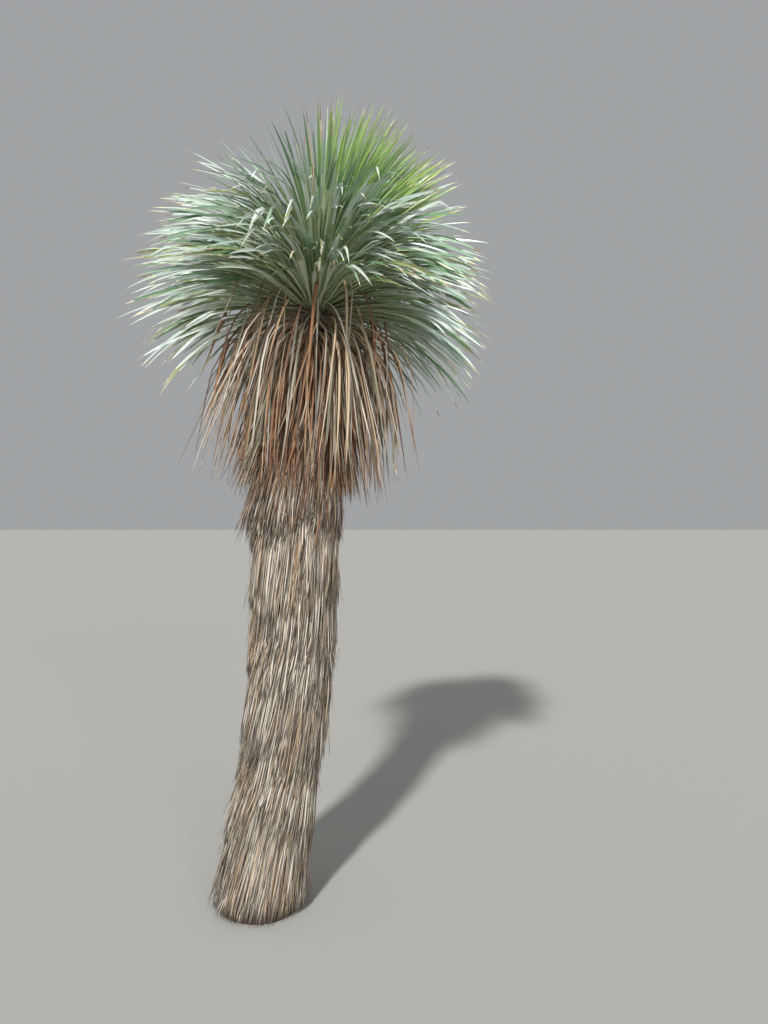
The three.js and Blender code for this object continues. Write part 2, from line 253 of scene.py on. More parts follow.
# %% Uneven scars
LUMP_SIZE, LUMP_HEIGHT, LUMP_MIDDLE = 0.022, 0.007, 0.62
CUT_HEIGHT, SHARPEST = 0.001, 40  # an edge that turns by more than SHARPEST degrees stays crisp
lumps = bpy.data.textures.new("leaf_scar_lumps", "CLOUDS")
lumps.noise_scale = LUMP_SIZE
lumps.noise_depth = 2
above_cut = stem.vertex_groups.new(name="above_the_cut")
above_cut.add([v.index for v in stem.data.vertices if v.co.z > CUT_HEIGHT], 1, "REPLACE")
relief = stem.modifiers.new("scars", "DISPLACE")
relief.texture = lumps
relief.texture_coords = "LOCAL"
relief.strength = LUMP_HEIGHT
relief.mid_level = LUMP_MIDDLE
relief.vertex_group = above_cut.name
bpy.context.view_layer.objects.active = stem
stem.select_set(True)
bpy.ops.object.modifier_apply(modifier=relief.name)
bpy.ops.object.shade_smooth_by_angle(angle=radians(SHARPEST))
start_clean()
print("the lumps are", round(LUMP_SIZE * 1000), "mm across")

# %% [markdown]
# The skin of the stem is dry fibre, matt and torn. Its colour follows the height of the bump: dark in its
# grooves as painted shade, and tan on the raised fibres as a painted highlight, over the fibre's own tones.
# One brown would look like plastic, so two noises share out the tones: fibres 4 mm wide, drawn out up the
# stem, and patches 6 cm across.

# %% Bark of fibre and leaf scars
FIBRE_WIDTH, FIBRE_SHORTENING, PATCH_SIZE = 1 / 240, 0.12, 1 / 16
bark = bpy.data.materials.new("fibrous_bark")
bark.use_nodes = True
tree = bark.node_tree
place = node(tree, "ShaderNodeTexCoord").outputs["Object"]
stretch = node(tree, "ShaderNodeMapping", {"Scale": (1, 1, FIBRE_SHORTENING)}, Vector=place)
fibres = node(tree, "ShaderNodeTexNoise", {"Scale": 1 / FIBRE_WIDTH, "Detail": 4}, Vector=stretch.outputs[0])
patches = node(tree, "ShaderNodeTexNoise", {"Scale": 1 / PATCH_SIZE, "Detail": 5}, Vector=place)
both = node(tree, "ShaderNodeMath", {"operation": "MULTIPLY"})
tree.links.new(fibres.outputs["Fac"], both.inputs[0])
tree.links.new(patches.outputs["Fac"], both.inputs[1])
# The ramp darkens the low parts of the bump: painted shade in the grooves, painted highlight on the ridges.
fibre_tones_and_painted_shade = node(tree, "ShaderNodeValToRGB", Fac=both.outputs[0])
for stop, (position, colour) in zip(fibre_tones_and_painted_shade.color_ramp.elements, [(0.14, "#3f3025"), (0.4, "#96816a")]):
    stop.position = position
    stop.color = linear(colour)
bump = node(tree, "ShaderNodeBump", {"Strength": 0.5, "Distance": 0.002}, Height=both.outputs[0])
bark_shader = tree.nodes["Principled BSDF"].inputs
bark_shader["Roughness"].default_value = 0.9
tree.links.new(fibre_tones_and_painted_shade.outputs["Color"], bark_shader["Base Color"])
tree.links.new(bump.outputs["Normal"], bark_shader["Normal"])
stem.data.materials.append(bark)
print("the bark has", len(tree.nodes), "nodes")

# %% [markdown]
# ## One leaf, modelled
# A leaf is a long strip, a little hollow above and keeled below. It is broad where it clasps the stem,
# narrow above that, broadest past its middle, and drawn out to a sharp point. A flat card would do from
# afar, but it has neither keel nor margin. One leaf is modelled here with an eight-sided section,
# straight and one unit long, and every leaf of the plant is that leaf, bent along an arc of its own.
# It is repeated more than a thousand times, so it has only some eighty faces: rings stand close where a
# leaf folds, near its end, and far apart where it is straight. Its long edges, above and below, are the
# horny margins.

# %% From a section to a leaf
THINNING = 0.6  # the thickness of a leaf goes by this power of its width


def start_section(name, sides):
    """A flat ring of corners across a leaf: its two edges lie at x of 1 and -1."""
    start_clean()
    turn = (pi / 2, 0, 0)
    bpy.ops.mesh.primitive_circle_add(vertices=sides, radius=1, fill_type="NGON", rotation=turn)
    bpy.ops.object.transform_apply(location=False, rotation=True, scale=False)
    piece = bpy.context.object
    piece.name = name
    return piece


def draw_out(piece, outline):
    """Extrudes the section from root to tip. The outline gives the share of the width at each place."""
    bpy.ops.object.mode_set(mode="EDIT")
    bpy.ops.mesh.select_all(action="SELECT")
    last_place, last_width = 0, 1
    for place, width in outline:
        if place > 0:
            bpy.ops.mesh.extrude_region_move(TRANSFORM_OT_translate={"value": (0, place - last_place, 0)})
        share = width / last_width
        bpy.ops.transform.resize(value=(share, 1, share**THINNING))
        last_place, last_width = place, width
    bpy.ops.mesh.merge(type="CENTER")
    finish_shape(piece)


# %% The green leaf
MARGIN_FROM, MARGIN_FLATTENED, TOP_SUNK = 0.8, 0.75, 0.1
DIAGONAL = 0.707  # where the slanting corners of the ring stand
LEAF_OUTLINE = [(0, 1.8), (0.04, 0.9), (0.16, 0.5), (0.36, 0.68), (0.5, 0.92), (0.62, 1.0), (0.73, 0.87)]
LEAF_OUTLINE += [(0.81, 0.71), (0.88, 0.51), (0.94, 0.28), (1.0, 0.01)]
leaf = start_section("one_leaf", sides=8)
# The slanting corners move out to where the margins start, and the topmost one sinks a little.
pick(leaf, lambda co: 0.6 < abs(co.x) < 0.9)
bpy.ops.transform.resize(value=(MARGIN_FROM / DIAGONAL, 1, MARGIN_FLATTENED))
pick(leaf, lambda co: co.z > 0.9)
bpy.ops.transform.translate(value=(0, 0, -TOP_SUNK))
draw_out(leaf, LEAF_OUTLINE)

# %% [markdown]
# A dead leaf needs less. It has dried into a narrow ribbon with a ridge, so four sides are enough. The
# hanging leaves fold near the stem, so their rings stand close there, and the strips of the thatch lie
# straight and need few.

# %% Dead leaves
DEAD_OUTLINE = [(0, 1.6), (0.04, 1.1), (0.09, 0.76), (0.14, 0.78), (0.2, 0.84), (0.26, 0.9), (0.33, 0.96)]
DEAD_OUTLINE += [(0.42, 1.0), (0.55, 0.97), (0.7, 0.84), (0.83, 0.62), (0.93, 0.34), (1.0, 0.03)]
STRIP_OUTLINE = [(0, 0.35), (0.15, 0.9), (0.4, 1.0), (0.62, 0.9), (0.82, 0.66), (1.0, 0.08)]
dead_leaf = start_section("one_dead_leaf", sides=4)
draw_out(dead_leaf, DEAD_OUTLINE)
strip = start_section("one_strip", sides=4)
draw_out(strip, STRIP_OUTLINE)

# %% [markdown]
# ## Growing leaves along arcs
# Bending thousands of copies by hand would take days, so arrays of numbers do it: the middle line of each
# leaf is walked from root to tip in small steps, and the corners of the one leaf are carried along it.
# Leaves that are joined into one mesh are drawn fast.

# %% Reading a modelled leaf
STEPS = 200
ZONES = (0.62, 0.88, 0.94)  # where the outer half, the end and the tip of a leaf start
MARGIN_INSIDE = 0.65  # the middle of a margin's face lies outside this share of the half width


def side_of(face, ridged):
    """Which side of the leaf a face is on. Right of a ridge, a face counts with the margins, so that it
    can take the paler skin that is painted on the lit side of a ridge.
    """
    x, y, _ = face.center
    side = "blade" if face.normal.z > 0 else "under"
    right = side == "blade" and x > 0
    outer = abs(x) > MARGIN_INSIDE * np.interp(y, *np.array(LEAF_OUTLINE).T)
    return "margin_and_lit_side" if (right if ridged else outer) else side


def pattern_of(piece, ridged=False):
    """A modelled leaf as arrays: its corners, the step that each is at, its faces, and what part of the
    leaf each face is, by side and by zone from the root to the tip. Only a leaf that isn't ridged is
    shaded smooth."""
    corners = np.array([v.co for v in piece.data.vertices])
    faces = [list(face.vertices) for face in piece.data.polygons]
    parts = []
    for face in piece.data.polygons:
        parts.append((side_of(face, ridged), sum(face.center.y > end for end in ZONES)))
    bpy.data.objects.remove(piece)
    step = np.rint(corners[:, 1] * STEPS).astype(int)
    return {"corners": corners, "step": step, "faces": faces, "parts": parts, "smooth": not ridged}


def look_of(blade, under, margin_and_lit_side, late=None, end=None, tip=None):
    """The skins of one leaf: for each side, the four zones from the root to the tip."""
    sides = {"blade": blade, "under": under, "margin_and_lit_side": margin_and_lit_side}
    return {side: (base, late or base, end or base, tip or end or base) for side, base in sides.items()}


LEAF = pattern_of(leaf)
DEAD_LEAF = pattern_of(dead_leaf, ridged=True)
STRIP = pattern_of(strip, ridged=True)
print("sides and zones of a leaf:", sorted(set(LEAF["parts"])))

# %% Carrying the corners of a leaf along its middle line


def unit(vectors):
    return vectors / np.maximum(np.linalg.norm(vectors, axis=-1, keepdims=True), 1e-9)


def carry(pattern, line, level, roll, width, thickness, hollow):
    """line and level hold, for each leaf and step, its middle line and the level direction across it, and
    roll its turn in radians. hollow is how far the edges stand above the middle, as a share."""
    along = unit(np.gradient(line, axis=1))
    side = unit(level - along * np.sum(level * along, axis=-1, keepdims=True))
    side = side * np.cos(roll)[..., None] + np.cross(along, side) * np.sin(roll)[..., None]
    face = np.cross(along, side)
    at = pattern["step"]
    x, z = pattern["corners"][:, 0], pattern["corners"][:, 2]
    half = width[:, None] / 2
    lift = z * thickness[:, None] / 2 + hollow[:, None] * half * np.abs(x)
    return line[:, at] + side[:, at] * (x * half)[..., None] + face[:, at] * lift[..., None]


def level_across(heading):
    """The level direction at a right angle to a heading."""
    return np.stack([-np.sin(heading), np.cos(heading), np.zeros_like(heading)], axis=-1)


def walk(root, heading, pitch, length):
    """The middle line of each leaf, from its root, with heading and pitch in radians at each step."""
    level_part = np.cos(pitch)
    direction = np.stack([level_part * np.cos(heading), level_part * np.sin(heading), np.sin(pitch)], axis=-1)
    steps = (direction[:, 1:] + direction[:, :-1]) / 2 * (length / STEPS)[:, None, None]
    line = np.concatenate([root[:, None], root[:, None] + np.cumsum(steps, axis=1)], axis=1)
    return line, level_across(heading)


# %% Joining leaves into one mesh


def fill(mesh, pattern, corners):
    """Writes the corners and faces of every leaf into a mesh."""
    count, size = corners.shape[:2]
    loops = (np.concatenate(pattern["faces"])[None, :] + size * np.arange(count)[:, None]).ravel()
    totals = np.tile([len(face) for face in pattern["faces"]], count)
    mesh.vertices.add(count * size)
    mesh.vertices.foreach_set("co", corners.astype(np.float32).ravel())
    mesh.loops.add(len(loops))
    mesh.loops.foreach_set("vertex_index", loops.astype(np.int32))
    mesh.polygons.add(len(totals))
    mesh.polygons.foreach_set("loop_start", np.concatenate([[0], np.cumsum(totals)[:-1]]).astype(np.int32))


def smooth_along(mesh, pattern):
    """Smooth along the leaf, crisp across it: an edge from ring to ring is a ridge or a margin."""
    ends = np.empty(2 * len(mesh.edges), dtype=np.int32)
    mesh.edges.foreach_get("vertices", ends)
    ring = pattern["step"][ends % len(pattern["corners"])].reshape(-1, 2)
    mesh.edges.foreach_set("use_edge_sharp", ring[:, 0] != ring[:, 1])
    mesh.polygons.foreach_set("use_smooth", np.ones(len(mesh.polygons), dtype=bool))


def join(name, pattern, corners, skins, looks):
    """All leaves as one mesh. looks gives, for each leaf, the skin of each of its parts."""
    mesh = bpy.data.meshes.new(name)
    fill(mesh, pattern, corners)
    order = list(skins)
    slots = np.array([[order.index(look[side][zone]) for side, zone in pattern["parts"]] for look in looks])
    mesh.polygons.foreach_set("material_index", slots.ravel().astype(np.int32))
    for skin_name in order:
        mesh.materials.append(skins[skin_name])
    mesh.update(calc_edges=True)
    if pattern["smooth"]:
        smooth_along(mesh, pattern)
    mesh.validate()
    piece = put_in_scene(name, mesh)
    print(name, len(corners), "leaves,", triangles_of(piece), "triangles")
    return piece


# %% [markdown]
# ## The whorls of the crown
# Leaves stand in one close spiral round the stem. Each is turned from the one below by the golden share
# of a circle, so none stands right over another. From the lowest to the highest the pitch rises from
# hanging to upright. They could be scattered at random, but then some would stand in heaps, as on no
# plant. The numbers of one leaf come from its place between two stations, with small seeded differences,
# as in the solids.

# %% The rule for a whorl
SUNK, LEAST_ROOT = 0.012, 0.002  # how deep a leaf roots in the stem, and its least distance from the middle
RISE_JITTER, TURN_JITTER = 0.7, 0.02
FOLD_AT, FOLD_OVER = 0.6, 0.04  # where a fold lies and how long it is, as shares of the leaf


def whorl(station, count, low, high, shortest, seed, roll=22, turn=4, sweep=8, power=1.5):
    """Arrays for one whorl: where each leaf roots, and how it points, bends and turns. low and high are
    its ends, as shares of the way from its station to the next. The shortest leaf has that share of the
    full length, and a greater power gives fewer short ones. roll, turn and sweep are the most degrees
    that a leaf tilts, points aside and curves."""
    random = np.random.default_rng(seed)
    number = np.arange(count)
    rise = low + (high - low) * (number + 0.5 + RISE_JITTER * (random.random(count) - 0.5)) / count
    columns = [np.interp(station + rise, np.arange(len(STATIONS)), column) for column in STATIONS.T]
    along, root, pitch, bend, length = columns
    angle = 2 * pi * ((number * GOLDEN + TURN_JITTER * random.random(count)) % 1)
    cut = 1 + (shortest - 1) * random.random(count) ** power
    return {
        "random": random,
        "angle": angle,
        "along": along,
        "root": np.maximum(root - SUNK, LEAST_ROOT),
        "heading": angle + radians(turn) * random.uniform(-1, 1, count),
        "sweep": radians(sweep) * random.uniform(-1, 1, count),
        "pitch": np.radians(pitch),
        "bend": np.radians(bend) * cut,
        "length": length * cut,
        "roll": radians(roll) * random.uniform(-1, 1, count),
        "twist": np.zeros(count),
        "fold": np.zeros(count),
        "fold_at": np.full(count, FOLD_AT),
        "fold_over": np.full(count, FOLD_OVER),
        "droop": np.ones(count),
    }


# %% From a whorl to a piece
STEEPEST = -87  # no part of a leaf hangs steeper than this


def crown_to_plant(points):
    """The crown is built upright, and then leans with the stem."""
    tilt = atan(LEAN)
    x, y, z = points[..., 0], points[..., 1], points[..., 2]
    turned = np.stack([x * np.cos(tilt) + z * np.sin(tilt), y, z * np.cos(tilt) - x * np.sin(tilt)], axis=-1)
    return turned + np.array([float(lean_at(CROWN_BASE)), 0, CROWN_BASE])


def grow(name, pattern, leaves, width, thickness, hollow, skins, looks):
    """Walks, bends and joins the leaves of a whorl. A fold is a bend that is gathered about one place."""
    share = np.linspace(0, 1, STEPS + 1)[None, :]
    folded = 1 / (1 + np.exp(-(share - leaves["fold_at"][:, None]) / leaves["fold_over"][:, None]))
    drooped = share ** leaves["droop"][:, None]
    pitch = leaves["pitch"][:, None] - leaves["bend"][:, None] * drooped - leaves["fold"][:, None] * folded
    pitch = np.maximum(pitch, radians(STEEPEST))
    heading = leaves["heading"][:, None] + leaves["sweep"][:, None] * share
    out = leaves["root"]
    root = np.stack([out * np.cos(leaves["angle"]), out * np.sin(leaves["angle"]), leaves["along"]], axis=-1)
    line, level = walk(root, heading, pitch, leaves["length"])
    roll = leaves["roll"][:, None] + leaves["twist"][:, None] * share
    corners = carry(pattern, line, level, roll, width, thickness, hollow)
    return join(name, pattern, crown_to_plant(corners), skins, looks)


# %% [markdown]
# ## Green leaves
# The living leaves are blue-green above with pale margins, and some have a dry tip. They leave the stem
# straight and droop over their outer half, which turns their pale upper faces to the light. Near its end
# many a leaf has folded over, and in the middle of the crown these ends show as short bright hooks.
# Each leaf could be posed by hand from the photograph, but there are over a thousand. Small functions
# shape a whole whorl at once instead, each with one habit of the plant.

# %% Knees and hooks
FRONT, LEFT, RIGHT = -pi / 2, pi, 0
KNEE_AT, KNEE_LENGTH, KNEE_LIFT, BEND_SHARE, DROOP = (0.42, 0.68), (0.03, 0.08), 0.3, 0.8, 1.4
HOOK_AT, HOOK_LENGTH, HOOK_HANG = (0.76, 0.89), (0.006, 0.02), (5, 60)
BENT_BY_HOOK = 0.8  # the share of its bend that a leaf has done where it hooks


def towards(leaves, direction):
    """From 0 to 1: how squarely a leaf points in a level direction. 0 holds for all of the far half."""
    return np.maximum(0, np.cos(leaves["angle"] - direction))


def soft_knee(leaves, least, most):
    """Part of the bend of each leaf is gathered past its middle, where the blade has given way."""
    random, count = leaves["random"], len(leaves["angle"])
    leaves["fold"] = np.radians(random.uniform(least, most, count))
    leaves["fold_at"] = random.uniform(*KNEE_AT, count)
    leaves["fold_over"] = random.uniform(*KNEE_LENGTH, count)
    leaves["pitch"] += KNEE_LIFT * leaves["fold"]
    leaves["bend"] *= BEND_SHARE
    leaves["droop"] = np.full(count, DROOP)


def hook(leaves, share, all_round=0.0):
    """A fold near the end, in a share of the leaves, most of them low in the whorl where they point to
    the front. Past it the end hangs at 5 to 60 degrees below the level, and a leaf that hung lower before
    keeps straight."""
    random, count = leaves["random"], len(leaves["angle"])
    low = np.clip(1.3 - 2 * leaves["rise"], 0, 1)
    hooked = random.random(count) < all_round + share * towards(leaves, FRONT) ** 6 * low
    hang = np.radians(random.uniform(*HOOK_HANG, count))
    fold = np.maximum(0, leaves["pitch"] - BENT_BY_HOOK * leaves["bend"] + hang)
    leaves["fold"] = np.where(hooked, fold, leaves["fold"])
    leaves["fold_at"] = np.where(hooked, random.uniform(*HOOK_AT, count), leaves["fold_at"])
    leaves["fold_over"] = np.where(hooked, random.uniform(*HOOK_LENGTH, count), leaves["fold_over"])
    leaves["hooked"] = hooked


# %% Crowds and bundles


def crowd(leaves, strength):
    """Draws leaves together on the right side of the crown."""
    shift = -strength * np.sin(leaves["angle"])
    leaves["angle"] += shift
    leaves["heading"] += shift


def clump(leaves, sideways=0.1, upward=0.07, bundles=7, rising=60):
    """Neighbours lean together, so that they lie in bundles with gaps between them."""
    wave = bundles * leaves["angle"] + rising * leaves["along"]
    leaves["heading"] += sideways * np.sin(wave)
    leaves["pitch"] += upward * np.sin(5 * leaves["angle"] - 80 * leaves["along"])


def keep(leaves, wanted):
    """Only the leaves that a test holds for."""
    random = leaves.pop("random")
    return {name: values[wanted] for name, values in leaves.items()} | {"random": random}


# %% Dealing out the greens
# Painted highlight in part: the paler skin over the outer half stands for bloom and for light on the droop.
OUTER_HALF_SKIN = {"blue": "grey", "mid": "blue", "deep": "mid", "fresh": "turning", "young": "young"}
SHADES = ["blue", "grey", "mid", "deep", "olive"]
TUFT_SIDE, TUFT_EDGE, TUFT_PITCH, TUFT_SHARE = -0.3, 0.35, 46, 0.85
PALER_OUTER_SHARE, HOOKS_PAINTED_PALE = 0.35, 0.6  # shares of leaves with a paler outer half, and of hooked leaves painted pale as a highlight


def deal(random, names, weights, count):
    """Draws a name for each leaf. One with twice the weight comes twice as often."""
    return random.choice(names, count, p=np.array(weights) / sum(weights))


def green_looks(random, blades, dry=0.0):
    """Many a leaf is paler over its outer half: partly bloom, partly a painted highlight on the drooping
    half.
    A young leaf is yellower there. An old leaf dries from its tip, and the part behind turns olive."""
    looks = []
    for blade in blades:
        under = random.choice(["under", "under_deep", "deep", "olive"], p=[0.5, 0.2, 0.2, 0.1])
        tip = random.choice(["tan_tip", "brown_tip", "margin_and_lit_side", blade], p=[0.3, 0.1, 0.3, 0.3])
        late = OUTER_HALF_SKIN.get(blade, blade) if random.random() < PALER_OUTER_SHARE else blade
        end = late
        if blade in ("young", "fresh"):
            under, late, end = "fresh", OUTER_HALF_SKIN[blade], random.choice(["young", "tan_tip"], p=[0.85, 0.15])
        if random.random() < dry:
            late, end = "olive", "tan_tip"
        if blade == "tan_tip":
            under, end, tip = "brown_tip", "brown_tip", "brown_tip"
        looks.append(look_of(blade, under, "margin_and_lit_side", late, end, tip))
    return looks


def green_shades(leaves, weights):
    """The shade of each blade, and which leaves are of the young tuft. Most hooked leaves take the
    silver-green skin, a painted highlight for the light on their folded ends.
    """
    random, count = leaves["random"], len(leaves["angle"])
    shades = deal(random, SHADES, weights, count)
    tufted = (towards(leaves, TUFT_SIDE) > TUFT_EDGE) & (leaves["pitch"] > radians(TUFT_PITCH))
    tufted &= random.random(count) < TUFT_SHARE
    # Painted highlight: most hooked leaves are made silver-green for the light on their folds.
    shades = np.where(leaves["hooked"] & (random.random(count) < HOOKS_PAINTED_PALE), "grey", shades)
    return np.where(tufted, random.choice(["young", "fresh"], count), shades), tufted


# %% The rule for a green whorl
TURN_TO_LIGHT, TURNED_AT_ROOT, LOOSE_TWIST = 78, 0.2, 40
NARROWEST, HOOKED_BROADER = 0.7, 1.1
GREEN_THICKNESS, GREEN_HOLLOW = 0.17, (0.2, 0.6)  # as shares of the width
FEW, FEW_LENGTH, USUAL_LENGTH = 0.06, 1.08, 1.02


def green_whorl(
    name, station, count, seed, knee, hooks, weights, broad, dry, low=0.03, crowded=0, lift=0, open_left=0
):
    """knee and hooks are the values of soft_knee and hook. broad is the width of the broadest leaf, and
    dry the share with dry ends. lift raises the lowest leaves in front, and open_left is the share
    missing on the left."""
    leaves = whorl(station, count, low, high=0.97, shortest=0.7, seed=seed, roll=26, power=2.0)
    leaves["rise"] = np.linspace(0, 1, count)
    crowd(leaves, crowded)
    leaves = keep(leaves, leaves["random"].random(count) > open_left * towards(leaves, LEFT) ** 0.5)
    random, count = leaves["random"], len(leaves["angle"])
    soft_knee(leaves, *knee)
    hook(leaves, *hooks)
    clump(leaves)
    leaves["pitch"] += radians(lift) * towards(leaves, FRONT) ** 0.6 * (1 - leaves["rise"])
    leaves["length"] *= np.where(random.random(count) < FEW, FEW_LENGTH, USUAL_LENGTH)
    to_light = radians(TURN_TO_LIGHT) * np.cos(leaves["angle"])
    leaves["roll"] += TURNED_AT_ROOT * to_light
    leaves["twist"] = to_light + radians(LOOSE_TWIST) * random.uniform(-1, 1, count)
    width = broad * random.uniform(NARROWEST, 1, count) * np.where(leaves["hooked"], HOOKED_BROADER, 1)
    shades, tufted = green_shades(leaves, weights)
    leaves["fold"] = np.where(tufted, 0, leaves["fold"])
    looks = green_looks(random, shades, dry)
    hollow = random.uniform(*GREEN_HOLLOW, count)
    return grow(name, LEAF, leaves, width, width * GREEN_THICKNESS, hollow, GREEN, looks)


# %% Three green whorls
lower = green_whorl(
    "green_leaves_lower", station=2, count=460, seed=11, knee=(5, 25), hooks=(0.5, 0.06),
    weights=(4, 3, 3, 2, 2), broad=0.0155, dry=0.2, low=0.3, lift=34,
)
middle = green_whorl(
    "green_leaves_middle", station=3, count=570, seed=12, knee=(15, 45), hooks=(1.1, 0.01),
    weights=(4, 4, 4, 3, 1), broad=0.0155, dry=0.03, open_left=0.08,
)
upper = green_whorl(
    "green_leaves_upper", station=4, count=300, seed=13, knee=(0, 25), hooks=(0.0,),
    weights=(3, 2, 4, 4, 0), broad=0.0125, dry=0.01, crowded=0.5, open_left=0.85,
)

# %% [markdown]
# ## Young leaves
# Over the growing point the leaves stand almost upright. The youngest of them, still yellow-green and
# close together, lean out to one side of the crown as a tuft, and the others are as blue as the rest. A
# whorl of its own is enough for them, drawn together on that side and with few leaves left on the other.

# %% The spear
SPEAR_LEAVES, SPEAR_LEAN, SPEAR_CROWDED, SPEAR_WIDTHS = 260, 17, 0.85, (0.007, 0.011)
TUFT_LENGTH, FAR_SHORTER, YELLOW_SIDE, YELLOW_EDGE = 1.07, 0.12, -0.2, 0.05
SPEAR_OPEN_LEFT, DRIED_LEFT, DRIED_RIGHT = 0.95, 0.4, 0.03
spear = whorl(5, SPEAR_LEAVES, low=0.02, high=0.98, shortest=0.8, seed=14, roll=30, sweep=3)
crowd(spear, SPEAR_CROWDED)
spear = keep(spear, spear["random"].random(SPEAR_LEAVES) > SPEAR_OPEN_LEFT * towards(spear, LEFT) ** 0.25)
random, count = spear["random"], len(spear["angle"])
spear["pitch"] -= radians(SPEAR_LEAN) * towards(spear, RIGHT)
longer = (TUFT_LENGTH - 1) * towards(spear, RIGHT)
spear["length"] *= 1 + longer - FAR_SHORTER * towards(spear, LEFT)
yellow = random.choice(["young", "fresh"], count, p=[0.25, 0.75])
blue = random.choice(["blue", "deep", "mid"], count)
shades = np.where(towards(spear, YELLOW_SIDE) > YELLOW_EDGE, yellow, blue)
dried = random.random(count) < np.where(towards(spear, LEFT) > 0, DRIED_LEFT, DRIED_RIGHT)
shades = np.where(dried, "tan_tip", shades)
width = random.uniform(*SPEAR_WIDTHS, count)
looks = green_looks(random, shades)
young = grow("young_leaves", LEAF, spear, width, width * GREEN_THICKNESS, np.full(count, 0.3), GREEN, looks)

# %% [markdown]
# ## Hanging leaves
# The lowest leaves are dying or dead and hang round the stem. The outer ones still spread before they
# drop, and turn from drab green to straw. The inner ones are reddish brown, narrow and curled, and some
# start level and fold down sharply a hand's width from the stem. A cloth simulation could let them fall,
# but a fold at the right share of the length gives each its droop at once, and twisting does the rest.

# %% Looks of dead leaves
BROWN = ["red_brown", "brown", "tan", "straw", "drab", "grey", "silver"]
PALER = {"red_brown": "tan", "brown": "red_brown", "tan": "straw", "straw": "straw", "drab": "tan"}
PALER |= {"grey": "silver", "silver": "silver", "ochre": "straw", "dark": "grey"}


def dead_looks(random, blades, painted_lit_share):
    """One side of a dead leaf's ridge is often painted paler, as a painted highlight for its lit side,
    and a dead leaf is often paler towards its tip.
    """
    looks = []
    for blade in blades:
        # Painted highlight: the faces right of the ridge take a paler skin, as the lit side.
        painted_lit_side = PALER[blade] if random.random() < painted_lit_share else blade
        end = PALER[blade] if random.random() < 0.5 else blade
        looks.append(look_of(blade, blade, painted_lit_side, end=end))
    return looks


# %% The rule for a hanging whorl
HANGING_TWIST, HANGING_LENGTH, BUNDLES = 170, 1.18, 6
LOOSE_PITCH, HANGING_AT = 12, (70, 87)  # in degrees: how far pitches differ, and how steeply leaves hang
TURN_SPREAD, TURN_LENGTH = (0.6, 1.15), (0.02, 0.1)
DEAD_THICKNESS, DEAD_HOLLOW = 0.25, (0.1, 0.8)


def hanging_whorl(
    name, station, count, low, high, seed, start, turn_at, width, weights, bundled=0.0, fading=0.0
):
    """start and turn_at hold, for the lowest and the highest leaves, the pitch they leave the stem with,
    and the share of their length at which they turn down. bundled is how far they hang in bundles, and
    fading is the share of the highest ones that still have some green."""
    leaves = whorl(station, count, low, high, shortest=0.72, seed=seed, roll=60, turn=8, sweep=80, power=1.4)
    leaves["rise"] = np.linspace(0, 1, count)
    gap = 0.5 + 0.5 * np.cos(BUNDLES * leaves["angle"] + pi)
    leaves = keep(leaves, leaves["random"].random(count) > bundled * gap)
    random, count = leaves["random"], len(leaves["angle"])
    clump(leaves, sideways=-0.12, bundles=BUNDLES, rising=0)
    leaves["length"] *= HANGING_LENGTH
    rise = leaves.pop("rise")
    pitch = np.interp(rise, [0, 1], start) + random.uniform(-LOOSE_PITCH, LOOSE_PITCH, count)
    leaves["pitch"] = np.radians(pitch)
    leaves["fold"] = np.radians(pitch + random.uniform(*HANGING_AT, count))
    leaves["fold_at"] = np.interp(rise, [0, 1], turn_at) * random.uniform(*TURN_SPREAD, count)
    leaves["fold_over"] = random.uniform(*TURN_LENGTH, count)
    leaves["bend"] = np.zeros(count)
    leaves["twist"] = radians(HANGING_TWIST) * random.uniform(-1, 1, count)
    wide = random.uniform(*width, count)
    blades = deal(random, BROWN, weights, count)
    still_green = random.random(count) < fading * rise
    blades = np.where(still_green, deal(random, ["drab", "straw", "grey"], (0.35, 0.4, 0.25), count), blades)
    looks = dead_looks(random, blades, painted_lit_share=0.6)
    hollow = random.uniform(*DEAD_HOLLOW, count)
    return grow(name, DEAD_LEAF, leaves, wide, wide * DEAD_THICKNESS, hollow, DEAD, looks)


# %% Three hanging whorls
inner = hanging_whorl(
    "hanging_leaves_inner", station=0, count=760, low=0.02, high=0.98, seed=21, start=(-72, -54),
    turn_at=(0.1, 0.28), width=(0.0045, 0.01), weights=(9, 4, 5, 2, 0, 1, 0.7),
)
outer = hanging_whorl(
    "hanging_leaves_outer", station=1, count=620, low=0.02, high=1.2, seed=22, start=(-48, -14),
    turn_at=(0.22, 0.4), width=(0.0045, 0.01), weights=(3, 2, 3, 3, 2, 4, 1.5), bundled=0.75, fading=0.55,
)
late = hanging_whorl(
    "hanging_leaves_late", station=2, count=70, low=0.2, high=1.1, seed=23, start=(4, 34),
    turn_at=(0.2, 0.34), width=(0.006, 0.012), weights=(5, 3, 3, 1, 2, 1, 1),
)

# %% [markdown]
# ## The thatch
# Below the crown the dead leaves have sunk against the stem and weathered. Each roots against the packed
# leaves, comes out under the ones above, and ends in a ragged tip, like shingles. Old leaves lie lower
# and are greyer. One skirt, at about half the height, still stands out past the column below it.
# A bumpy column would be quicker, but its edge would be smooth. Thousands of short strips give the ragged
# outline and the fine shadows.

# %% The column and its rows
# Each tier: foot, head, radius at the foot and the head, how far tips hang below the foot, and strips.
TIERS = [
    (0.003, 0.472, 0.168, 0.153, 0.18, 2700),
    (0.472, 0.944, 0.153, 0.156, 0.06, 2500),
    (0.944, 1.415, 0.156, 0.162, 0.06, 2500),
    (1.415, 1.690, 0.181, 0.152, 0.055, 1900),
    (1.690, 1.950, 0.150, 0.084, 0.05, 900),
]
SKIRT = 4
PROUD, LOWEST_TIP = 0.012, 0.004
ROW_HEIGHT, ROW_STEP = 0.27, 0.009


